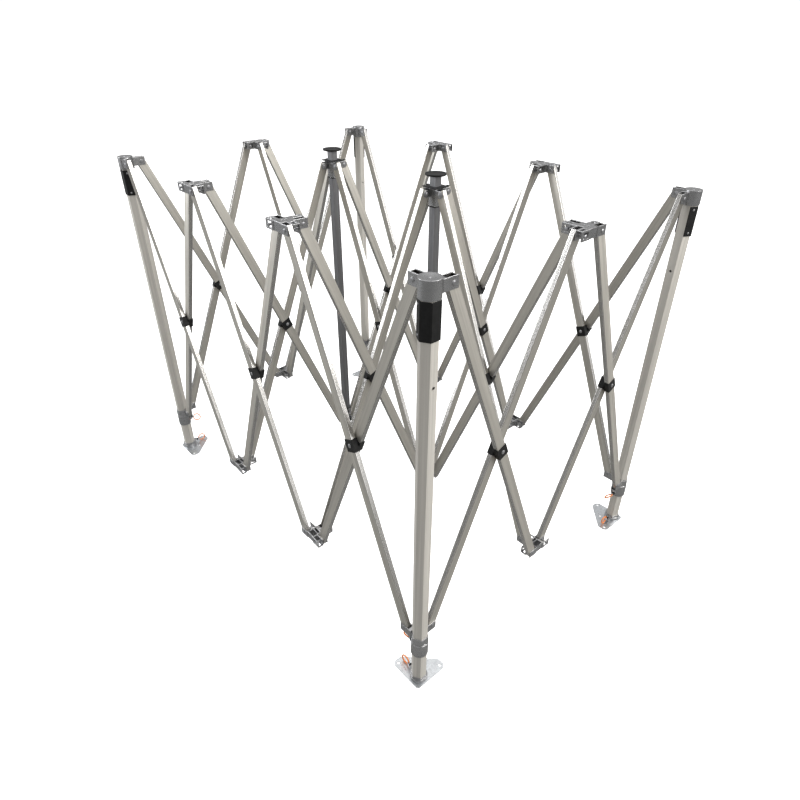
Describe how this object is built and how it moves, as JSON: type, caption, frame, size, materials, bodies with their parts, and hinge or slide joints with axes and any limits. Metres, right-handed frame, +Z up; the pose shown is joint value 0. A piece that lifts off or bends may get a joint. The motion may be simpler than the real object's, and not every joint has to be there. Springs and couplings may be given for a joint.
{
  "type": "pop up canopy frame",
  "caption": "Folding scissor-truss frame of a pop-up canopy on four hexagonal legs, with sliders, peak poles and foot plates, half folded.",
  "frame": {"origin": "on the floor, below the middle of the frame", "axes": "+X along the long side, from the left leg to the front leg; +Y along the short side; +Z up"},
  "size_m": [2.0292, 1.388, 1.63],
  "materials": {
    "leg_tube": "satin anodised hexagonal tube",
    "bar_tube": "satin anodised rectangular tube, grooved narrow faces",
    "casting": "die cast, grey",
    "pole_tube": "satin anodised square tube"
  },
  "bodies": {
    "leg_left": {"leg_left": "leg_tube"},
    "leg_front": {"leg_front": "leg_tube"},
    "leg_right": {"leg_right": "leg_tube"},
    "leg_back": {"leg_back": "leg_tube"},
    "slider_left": {"slider_left": "casting"},
    "slider_front": {"slider_front": "casting"},
    "slider_right": {"slider_right": "casting"},
    "slider_back": {"slider_back": "casting"},
    "upper_hub_0_1": {"upper_hub_0_1": "casting"},
    "upper_hub_1_0": {"upper_hub_1_0": "casting"},
    "upper_hub_1_1": {"upper_hub_1_1": "casting"},
    "upper_hub_1_2": {"upper_hub_1_2": "casting"},
    "upper_hub_2_0": {"upper_hub_2_0": "casting"},
    "upper_hub_2_1": {"upper_hub_2_1": "casting"},
    "upper_hub_2_2": {"upper_hub_2_2": "casting"},
    "upper_hub_3_1": {"upper_hub_3_1": "casting"},
    "lower_hub_0_1": {"lower_hub_0_1": "casting"},
    "lower_hub_1_0": {"lower_hub_1_0": "casting"},
    "lower_hub_1_1": {"lower_hub_1_1": "casting"},
    "lower_hub_1_2": {"lower_hub_1_2": "casting"},
    "lower_hub_2_0": {"lower_hub_2_0": "casting"},
    "lower_hub_2_1": {"lower_hub_2_1": "casting"},
    "lower_hub_2_2": {"lower_hub_2_2": "casting"},
    "lower_hub_3_1": {"lower_hub_3_1": "casting"},
    "long_falling_bar_0_0": {"long_falling_bar_0_0": "bar_tube"},
    "long_falling_bar_0_1": {"long_falling_bar_0_1": "bar_tube"},
    "long_falling_bar_0_2": {"long_falling_bar_0_2": "bar_tube"},
    "long_falling_bar_1_0": {"long_falling_bar_1_0": "bar_tube"},
    "long_falling_bar_1_1": {"long_falling_bar_1_1": "bar_tube"},
    "long_falling_bar_1_2": {"long_falling_bar_1_2": "bar_tube"},
    "long_falling_bar_2_0": {"long_falling_bar_2_0": "bar_tube"},
    "long_falling_bar_2_1": {"long_falling_bar_2_1": "bar_tube"},
    "long_falling_bar_2_2": {"long_falling_bar_2_2": "bar_tube"},
    "long_rising_bar_0_0": {"long_rising_bar_0_0": "bar_tube"},
    "long_rising_bar_0_1": {"long_rising_bar_0_1": "bar_tube"},
    "long_rising_bar_0_2": {"long_rising_bar_0_2": "bar_tube"},
    "long_rising_bar_1_0": {"long_rising_bar_1_0": "bar_tube"},
    "long_rising_bar_1_1": {"long_rising_bar_1_1": "bar_tube"},
    "long_rising_bar_1_2": {"long_rising_bar_1_2": "bar_tube"},
    "long_rising_bar_2_0": {"long_rising_bar_2_0": "bar_tube"},
    "long_rising_bar_2_1": {"long_rising_bar_2_1": "bar_tube"},
    "long_rising_bar_2_2": {"long_rising_bar_2_2": "bar_tube"},
    "cross_falling_bar_0_0": {"cross_falling_bar_0_0": "bar_tube"},
    "cross_falling_bar_0_1": {"cross_falling_bar_0_1": "bar_tube"},
    "cross_falling_bar_1_0": {"cross_falling_bar_1_0": "bar_tube"},
    "cross_falling_bar_1_1": {"cross_falling_bar_1_1": "bar_tube"},
    "cross_falling_bar_2_0": {"cross_falling_bar_2_0": "bar_tube"},
    "cross_falling_bar_2_1": {"cross_falling_bar_2_1": "bar_tube"},
    "cross_falling_bar_3_0": {"cross_falling_bar_3_0": "bar_tube"},
    "cross_falling_bar_3_1": {"cross_falling_bar_3_1": "bar_tube"},
    "cross_rising_bar_0_0": {"cross_rising_bar_0_0": "bar_tube"},
    "cross_rising_bar_0_1": {"cross_rising_bar_0_1": "bar_tube"},
    "cross_rising_bar_1_0": {"cross_rising_bar_1_0": "bar_tube"},
    "cross_rising_bar_1_1": {"cross_rising_bar_1_1": "bar_tube"},
    "cross_rising_bar_2_0": {"cross_rising_bar_2_0": "bar_tube"},
    "cross_rising_bar_2_1": {"cross_rising_bar_2_1": "bar_tube"},
    "cross_rising_bar_3_0": {"cross_rising_bar_3_0": "bar_tube"},
    "cross_rising_bar_3_1": {"cross_rising_bar_3_1": "bar_tube"},
    "peak_pole_1": {"peak_pole_1": "pole_tube"},
    "peak_pole_2": {"peak_pole_2": "pole_tube"}
  },
  "joints": [
    {"name": "fold", "type": "hinge", "parent": "leg_front", "child": "long_rising_bar_2_0", "pos_m": [0.91657, -0.64505, 1.563], "axis": [0, -1, 0], "range_deg": [-58.2, 20]},
    {"name": "long_falling_bar_2_0_pivot", "type": "hinge", "parent": "long_rising_bar_2_0", "child": "long_falling_bar_2_0", "pos_m": [0.64105, -0.65605, 0.90756], "axis": [0, 1, 0], "range_deg": [-116.9, 40.5]},
    {"name": "slider_front_pivot", "type": "hinge", "parent": "long_falling_bar_2_0", "child": "slider_front", "pos_m": [0.91657, -0.66705, 0.25211], "axis": [0, -1, 0], "range_deg": [-58.7, 20.5]},
    {"name": "upper_hub_2_0_pivot", "type": "hinge", "parent": "long_falling_bar_2_0", "child": "upper_hub_2_0", "pos_m": [0.36552, -0.66705, 1.563], "axis": [0, -1, 0], "range_deg": [-58.7, 20.5]},
    {"name": "lower_hub_2_0_pivot", "type": "hinge", "parent": "long_rising_bar_2_0", "child": "lower_hub_2_0", "pos_m": [0.36552, -0.64505, 0.25211], "axis": [0, 1, 0], "range_deg": [-58.7, 20.5]},
    {"name": "long_rising_bar_1_0_pivot", "type": "hinge", "parent": "upper_hub_2_0", "child": "long_rising_bar_1_0", "pos_m": [0.27552, -0.64505, 1.563], "axis": [0, -1, 0], "range_deg": [-58.7, 20.5]},
    {"name": "long_falling_bar_1_0_pivot", "type": "hinge", "parent": "long_rising_bar_1_0", "child": "long_falling_bar_1_0", "pos_m": [0, -0.65605, 0.90756], "axis": [0, 1, 0], "range_deg": [-116.9, 40.5]},
    {"name": "upper_hub_1_0_pivot", "type": "hinge", "parent": "long_falling_bar_1_0", "child": "upper_hub_1_0", "pos_m": [-0.27552, -0.66705, 1.563], "axis": [0, -1, 0], "range_deg": [-58.7, 20.5]},
    {"name": "lower_hub_1_0_pivot", "type": "hinge", "parent": "long_rising_bar_1_0", "child": "lower_hub_1_0", "pos_m": [-0.27552, -0.64505, 0.25211], "axis": [0, 1, 0], "range_deg": [-58.7, 20.5]},
    {"name": "long_rising_bar_0_0_pivot", "type": "hinge", "parent": "upper_hub_1_0", "child": "long_rising_bar_0_0", "pos_m": [-0.36552, -0.64505, 1.563], "axis": [0, -1, 0], "range_deg": [-58.7, 20.5]},
    {"name": "long_falling_bar_0_0_pivot", "type": "hinge", "parent": "long_rising_bar_0_0", "child": "long_falling_bar_0_0", "pos_m": [-0.64105, -0.65605, 0.90756], "axis": [0, 1, 0], "range_deg": [-116.9, 40.5]},
    {"name": "leg_left_pivot", "type": "hinge", "parent": "long_falling_bar_0_0", "child": "leg_left", "pos_m": [-0.91657, -0.66705, 1.563], "axis": [0, -1, 0], "range_deg": [-58.7, 20.5]},
    {"name": "slider_left_pivot", "type": "hinge", "parent": "long_rising_bar_0_0", "child": "slider_left", "pos_m": [-0.91657, -0.64505, 0.25211], "axis": [0, 1, 0], "range_deg": [-58.7, 20.5]},
    {"name": "cross_falling_bar_3_0_pivot", "type": "hinge", "parent": "leg_front", "child": "cross_falling_bar_3_0", "pos_m": [0.98757, -0.59605, 1.563], "axis": [-1, 0, 0], "range_deg": [-58.7, 20.5]},
    {"name": "cross_rising_bar_3_0_pivot", "type": "hinge", "parent": "cross_falling_bar_3_0", "child": "cross_rising_bar_3_0", "pos_m": [0.97657, -0.32052, 0.90756], "axis": [1, 0, 0], "range_deg": [-116.9, 40.5]},
    {"name": "upper_hub_3_1_pivot", "type": "hinge", "parent": "cross_rising_bar_3_0", "child": "upper_hub_3_1", "pos_m": [0.96557, -0.045, 1.563], "axis": [-1, 0, 0], "range_deg": [-58.7, 20.5]},
    {"name": "lower_hub_3_1_pivot", "type": "hinge", "parent": "cross_falling_bar_3_0", "child": "lower_hub_3_1", "pos_m": [0.98757, -0.045, 0.25211], "axis": [1, 0, 0], "range_deg": [-58.7, 20.5]},
    {"name": "cross_falling_bar_3_1_pivot", "type": "hinge", "parent": "upper_hub_3_1", "child": "cross_falling_bar_3_1", "pos_m": [0.98757, 0.045, 1.563], "axis": [-1, 0, 0], "range_deg": [-58.7, 20.5]},
    {"name": "cross_rising_bar_3_1_pivot", "type": "hinge", "parent": "cross_falling_bar_3_1", "child": "cross_rising_bar_3_1", "pos_m": [0.97657, 0.32052, 0.90756], "axis": [1, 0, 0], "range_deg": [-116.9, 40.5]},
    {"name": "leg_right_pivot", "type": "hinge", "parent": "cross_rising_bar_3_1", "child": "leg_right", "pos_m": [0.96557, 0.59605, 1.563], "axis": [-1, 0, 0], "range_deg": [-58.7, 20.5]},
    {"name": "slider_right_pivot", "type": "hinge", "parent": "cross_falling_bar_3_1", "child": "slider_right", "pos_m": [0.98757, 0.59605, 0.25211], "axis": [1, 0, 0], "range_deg": [-58.7, 20.5]},
    {"name": "cross_falling_bar_2_0_pivot", "type": "hinge", "parent": "upper_hub_2_0", "child": "cross_falling_bar_2_0", "pos_m": [0.33152, -0.59605, 1.563], "axis": [-1, 0, 0], "range_deg": [-58.7, 20.5]},
    {"name": "cross_rising_bar_2_0_pivot", "type": "hinge", "parent": "cross_falling_bar_2_0", "child": "cross_rising_bar_2_0", "pos_m": [0.32052, -0.32052, 0.90756], "axis": [1, 0, 0], "range_deg": [-116.9, 40.5]},
    {"name": "upper_hub_2_1_pivot", "type": "hinge", "parent": "cross_rising_bar_2_0", "child": "upper_hub_2_1", "pos_m": [0.30952, -0.045, 1.563], "axis": [-1, 0, 0], "range_deg": [-58.7, 20.5]},
    {"name": "lower_hub_2_1_pivot", "type": "hinge", "parent": "cross_falling_bar_2_0", "child": "lower_hub_2_1", "pos_m": [0.33152, -0.045, 0.25211], "axis": [1, 0, 0], "range_deg": [-58.7, 20.5]},
    {"name": "cross_falling_bar_2_1_pivot", "type": "hinge", "parent": "upper_hub_2_1", "child": "cross_falling_bar_2_1", "pos_m": [0.33152, 0.045, 1.563], "axis": [-1, 0, 0], "range_deg": [-58.7, 20.5]},
    {"name": "cross_rising_bar_2_1_pivot", "type": "hinge", "parent": "cross_falling_bar_2_1", "child": "cross_rising_bar_2_1", "pos_m": [0.32052, 0.32052, 0.90756], "axis": [1, 0, 0], "range_deg": [-116.9, 40.5]},
    {"name": "upper_hub_2_2_pivot", "type": "hinge", "parent": "cross_rising_bar_2_1", "child": "upper_hub_2_2", "pos_m": [0.30952, 0.59605, 1.563], "axis": [-1, 0, 0], "range_deg": [-58.7, 20.5]},
    {"name": "lower_hub_2_2_pivot", "type": "hinge", "parent": "cross_falling_bar_2_1", "child": "lower_hub_2_2", "pos_m": [0.33152, 0.59605, 0.25211], "axis": [1, 0, 0], "range_deg": [-58.7, 20.5]},
    {"name": "cross_falling_bar_1_0_pivot", "type": "hinge", "parent": "upper_hub_1_0", "child": "cross_falling_bar_1_0", "pos_m": [-0.30952, -0.59605, 1.563], "axis": [-1, 0, 0], "range_deg": [-58.7, 20.5]},
    {"name": "cross_rising_bar_1_0_pivot", "type": "hinge", "parent": "cross_falling_bar_1_0", "child": "cross_rising_bar_1_0", "pos_m": [-0.32052, -0.32052, 0.90756], "axis": [1, 0, 0], "range_deg": [-116.9, 40.5]},
    {"name": "upper_hub_1_1_pivot", "type": "hinge", "parent": "cross_rising_bar_1_0", "child": "upper_hub_1_1", "pos_m": [-0.33152, -0.045, 1.563], "axis": [-1, 0, 0], "range_deg": [-58.7, 20.5]},
    {"name": "lower_hub_1_1_pivot", "type": "hinge", "parent": "cross_falling_bar_1_0", "child": "lower_hub_1_1", "pos_m": [-0.30952, -0.045, 0.25211], "axis": [1, 0, 0], "range_deg": [-58.7, 20.5]},
    {"name": "cross_falling_bar_1_1_pivot", "type": "hinge", "parent": "upper_hub_1_1", "child": "cross_falling_bar_1_1", "pos_m": [-0.30952, 0.045, 1.563], "axis": [-1, 0, 0], "range_deg": [-58.7, 20.5]},
    {"name": "cross_rising_bar_1_1_pivot", "type": "hinge", "parent": "cross_falling_bar_1_1", "child": "cross_rising_bar_1_1", "pos_m": [-0.32052, 0.32052, 0.90756], "axis": [1, 0, 0], "range_deg": [-116.9, 40.5]},
    {"name": "upper_hub_1_2_pivot", "type": "hinge", "parent": "cross_rising_bar_1_1", "child": "upper_hub_1_2", "pos_m": [-0.33152, 0.59605, 1.563], "axis": [-1, 0, 0], "range_deg": [-58.7, 20.5]},
    {"name": "lower_hub_1_2_pivot", "type": "hinge", "parent": "cross_falling_bar_1_1", "child": "lower_hub_1_2", "pos_m": [-0.30952, 0.59605, 0.25211], "axis": [1, 0, 0], "range_deg": [-58.7, 20.5]},
    {"name": "cross_falling_bar_0_0_pivot", "type": "hinge", "parent": "leg_left", "child": "cross_falling_bar_0_0", "pos_m": [-0.96557, -0.59605, 1.563], "axis": [-1, 0, 0], "range_deg": [-58.7, 20.5]},
    {"name": "cross_rising_bar_0_0_pivot", "type": "hinge", "parent": "cross_falling_bar_0_0", "child": "cross_rising_bar_0_0", "pos_m": [-0.97657, -0.32052, 0.90756], "axis": [1, 0, 0], "range_deg": [-116.9, 40.5]},
    {"name": "upper_hub_0_1_pivot", "type": "hinge", "parent": "cross_rising_bar_0_0", "child": "upper_hub_0_1", "pos_m": [-0.98757, -0.045, 1.563], "axis": [-1, 0, 0], "range_deg": [-58.7, 20.5]},
    {"name": "lower_hub_0_1_pivot", "type": "hinge", "parent": "cross_falling_bar_0_0", "child": "lower_hub_0_1", "pos_m": [-0.96557, -0.045, 0.25211], "axis": [1, 0, 0], "range_deg": [-58.7, 20.5]},
    {"name": "cross_falling_bar_0_1_pivot", "type": "hinge", "parent": "upper_hub_0_1", "child": "cross_falling_bar_0_1", "pos_m": [-0.96557, 0.045, 1.563], "axis": [-1, 0, 0], "range_deg": [-58.7, 20.5]},
    {"name": "cross_rising_bar_0_1_pivot", "type": "hinge", "parent": "cross_falling_bar_0_1", "child": "cross_rising_bar_0_1", "pos_m": [-0.97657, 0.32052, 0.90756], "axis": [1, 0, 0], "range_deg": [-116.9, 40.5]},
    {"name": "leg_back_pivot", "type": "hinge", "parent": "cross_rising_bar_0_1", "child": "leg_back", "pos_m": [-0.98757, 0.59605, 1.563], "axis": [-1, 0, 0], "range_deg": [-58.7, 20.5]},
    {"name": "slider_back_pivot", "type": "hinge", "parent": "cross_falling_bar_0_1", "child": "slider_back", "pos_m": [-0.96557, 0.59605, 0.25211], "axis": [1, 0, 0], "range_deg": [-58.7, 20.5]},
    {"name": "long_falling_bar_0_1_pivot", "type": "hinge", "parent": "upper_hub_0_1", "child": "long_falling_bar_0_1", "pos_m": [-0.91657, -0.011, 1.563], "axis": [0, 1, 0], "range_deg": [-58.7, 20.5]},
    {"name": "long_rising_bar_0_1_pivot", "type": "hinge", "parent": "long_falling_bar_0_1", "child": "long_rising_bar_0_1", "pos_m": [-0.64105, 0, 0.90756], "axis": [0, -1, 0], "range_deg": [-116.9, 40.5]},
    {"name": "long_falling_bar_1_1_pivot", "type": "hinge", "parent": "upper_hub_1_1", "child": "long_falling_bar_1_1", "pos_m": [-0.27552, -0.011, 1.563], "axis": [0, 1, 0], "range_deg": [-58.7, 20.5]},
    {"name": "long_rising_bar_1_1_pivot", "type": "hinge", "parent": "long_falling_bar_1_1", "child": "long_rising_bar_1_1", "pos_m": [0, 0, 0.90756], "axis": [0, -1, 0], "range_deg": [-116.9, 40.5]},
    {"name": "long_falling_bar_2_1_pivot", "type": "hinge", "parent": "upper_hub_2_1", "child": "long_falling_bar_2_1", "pos_m": [0.36552, -0.011, 1.563], "axis": [0, 1, 0], "range_deg": [-58.7, 20.5]},
    {"name": "long_rising_bar_2_1_pivot", "type": "hinge", "parent": "long_falling_bar_2_1", "child": "long_rising_bar_2_1", "pos_m": [0.64105, 0, 0.90756], "axis": [0, -1, 0], "range_deg": [-116.9, 40.5]},
    {"name": "long_falling_bar_0_2_pivot", "type": "hinge", "parent": "leg_back", "child": "long_falling_bar_0_2", "pos_m": [-0.91657, 0.64505, 1.563], "axis": [0, 1, 0], "range_deg": [-58.7, 20.5]},
    {"name": "long_rising_bar_0_2_pivot", "type": "hinge", "parent": "long_falling_bar_0_2", "child": "long_rising_bar_0_2", "pos_m": [-0.64105, 0.65605, 0.90756], "axis": [0, -1, 0], "range_deg": [-116.9, 40.5]},
    {"name": "long_falling_bar_1_2_pivot", "type": "hinge", "parent": "upper_hub_1_2", "child": "long_falling_bar_1_2", "pos_m": [-0.27552, 0.64505, 1.563], "axis": [0, 1, 0], "range_deg": [-58.7, 20.5]},
    {"name": "long_rising_bar_1_2_pivot", "type": "hinge", "parent": "long_falling_bar_1_2", "child": "long_rising_bar_1_2", "pos_m": [0, 0.65605, 0.90756], "axis": [0, -1, 0], "range_deg": [-116.9, 40.5]},
    {"name": "long_falling_bar_2_2_pivot", "type": "hinge", "parent": "upper_hub_2_2", "child": "long_falling_bar_2_2", "pos_m": [0.36552, 0.64505, 1.563], "axis": [0, 1, 0], "range_deg": [-58.7, 20.5]},
    {"name": "long_rising_bar_2_2_pivot", "type": "hinge", "parent": "long_falling_bar_2_2", "child": "long_rising_bar_2_2", "pos_m": [0.64105, 0.65605, 0.90756], "axis": [0, -1, 0], "range_deg": [-116.9, 40.5]},
    {"name": "peak_pole_1_slide", "type": "slide", "parent": "lower_hub_1_1", "child": "peak_pole_1", "axis": [0, 0, 1], "range_m": [-0.2455, 0.085]},
    {"name": "peak_pole_2_slide", "type": "slide", "parent": "lower_hub_2_1", "child": "peak_pole_2", "axis": [0, 0, 1], "range_m": [-0.2455, 0.085]}
  ],
  "couplings": [
    {"joint": "long_falling_bar_2_0_pivot", "follows": "fold", "ratio": 2},
    {"joint": "slider_front_pivot", "follows": "fold", "ratio": 1},
    {"joint": "upper_hub_2_0_pivot", "follows": "fold", "ratio": 1},
    {"joint": "lower_hub_2_0_pivot", "follows": "fold", "ratio": 1},
    {"joint": "long_rising_bar_1_0_pivot", "follows": "fold", "ratio": 1},
    {"joint": "long_falling_bar_1_0_pivot", "follows": "fold", "ratio": 2},
    {"joint": "upper_hub_1_0_pivot", "follows": "fold", "ratio": 1},
    {"joint": "lower_hub_1_0_pivot", "follows": "fold", "ratio": 1},
    {"joint": "long_rising_bar_0_0_pivot", "follows": "fold", "ratio": 1},
    {"joint": "long_falling_bar_0_0_pivot", "follows": "fold", "ratio": 2},
    {"joint": "leg_left_pivot", "follows": "fold", "ratio": 1},
    {"joint": "slider_left_pivot", "follows": "fold", "ratio": 1},
    {"joint": "cross_falling_bar_3_0_pivot", "follows": "fold", "ratio": 1},
    {"joint": "cross_rising_bar_3_0_pivot", "follows": "fold", "ratio": 2},
    {"joint": "upper_hub_3_1_pivot", "follows": "fold", "ratio": 1},
    {"joint": "lower_hub_3_1_pivot", "follows": "fold", "ratio": 1},
    {"joint": "cross_falling_bar_3_1_pivot", "follows": "fold", "ratio": 1},
    {"joint": "cross_rising_bar_3_1_pivot", "follows": "fold", "ratio": 2},
    {"joint": "leg_right_pivot", "follows": "fold", "ratio": 1},
    {"joint": "slider_right_pivot", "follows": "fold", "ratio": 1},
    {"joint": "cross_falling_bar_2_0_pivot", "follows": "fold", "ratio": 1},
    {"joint": "cross_rising_bar_2_0_pivot", "follows": "fold", "ratio": 2},
    {"joint": "upper_hub_2_1_pivot", "follows": "fold", "ratio": 1},
    {"joint": "lower_hub_2_1_pivot", "follows": "fold", "ratio": 1},
    {"joint": "cross_falling_bar_2_1_pivot", "follows": "fold", "ratio": 1},
    {"joint": "cross_rising_bar_2_1_pivot", "follows": "fold", "ratio": 2},
    {"joint": "upper_hub_2_2_pivot", "follows": "fold", "ratio": 1},
    {"joint": "lower_hub_2_2_pivot", "follows": "fold", "ratio": 1},
    {"joint": "cross_falling_bar_1_0_pivot", "follows": "fold", "ratio": 1},
    {"joint": "cross_rising_bar_1_0_pivot", "follows": "fold", "ratio": 2},
    {"joint": "upper_hub_1_1_pivot", "follows": "fold", "ratio": 1},
    {"joint": "lower_hub_1_1_pivot", "follows": "fold", "ratio": 1},
    {"joint": "cross_falling_bar_1_1_pivot", "follows": "fold", "ratio": 1},
    {"joint": "cross_rising_bar_1_1_pivot", "follows": "fold", "ratio": 2},
    {"joint": "upper_hub_1_2_pivot", "follows": "fold", "ratio": 1},
    {"joint": "lower_hub_1_2_pivot", "follows": "fold", "ratio": 1},
    {"joint": "cross_falling_bar_0_0_pivot", "follows": "fold", "ratio": 1},
    {"joint": "cross_rising_bar_0_0_pivot", "follows": "fold", "ratio": 2},
    {"joint": "upper_hub_0_1_pivot", "follows": "fold", "ratio": 1},
    {"joint": "lower_hub_0_1_pivot", "follows": "fold", "ratio": 1},
    {"joint": "cross_falling_bar_0_1_pivot", "follows": "fold", "ratio": 1},
    {"joint": "cross_rising_bar_0_1_pivot", "follows": "fold", "ratio": 2},
    {"joint": "leg_back_pivot", "follows": "fold", "ratio": 1},
    {"joint": "slider_back_pivot", "follows": "fold", "ratio": 1},
    {"joint": "long_falling_bar_0_1_pivot", "follows": "fold", "ratio": 1},
    {"joint": "long_rising_bar_0_1_pivot", "follows": "fold", "ratio": 2},
    {"joint": "long_falling_bar_1_1_pivot", "follows": "fold", "ratio": 1},
    {"joint": "long_rising_bar_1_1_pivot", "follows": "fold", "ratio": 2},
    {"joint": "long_falling_bar_2_1_pivot", "follows": "fold", "ratio": 1},
    {"joint": "long_rising_bar_2_1_pivot", "follows": "fold", "ratio": 2},
    {"joint": "long_falling_bar_0_2_pivot", "follows": "fold", "ratio": 1},
    {"joint": "long_rising_bar_0_2_pivot", "follows": "fold", "ratio": 2},
    {"joint": "long_falling_bar_1_2_pivot", "follows": "fold", "ratio": 1},
    {"joint": "long_rising_bar_1_2_pivot", "follows": "fold", "ratio": 2},
    {"joint": "long_falling_bar_2_2_pivot", "follows": "fold", "ratio": 1},
    {"joint": "long_rising_bar_2_2_pivot", "follows": "fold", "ratio": 2},
    {"joint": "peak_pole_1_slide", "follows": "fold", "m_per_rad": 0.24064},
    {"joint": "peak_pole_2_slide", "follows": "fold", "m_per_rad": 0.24064}
  ]
}
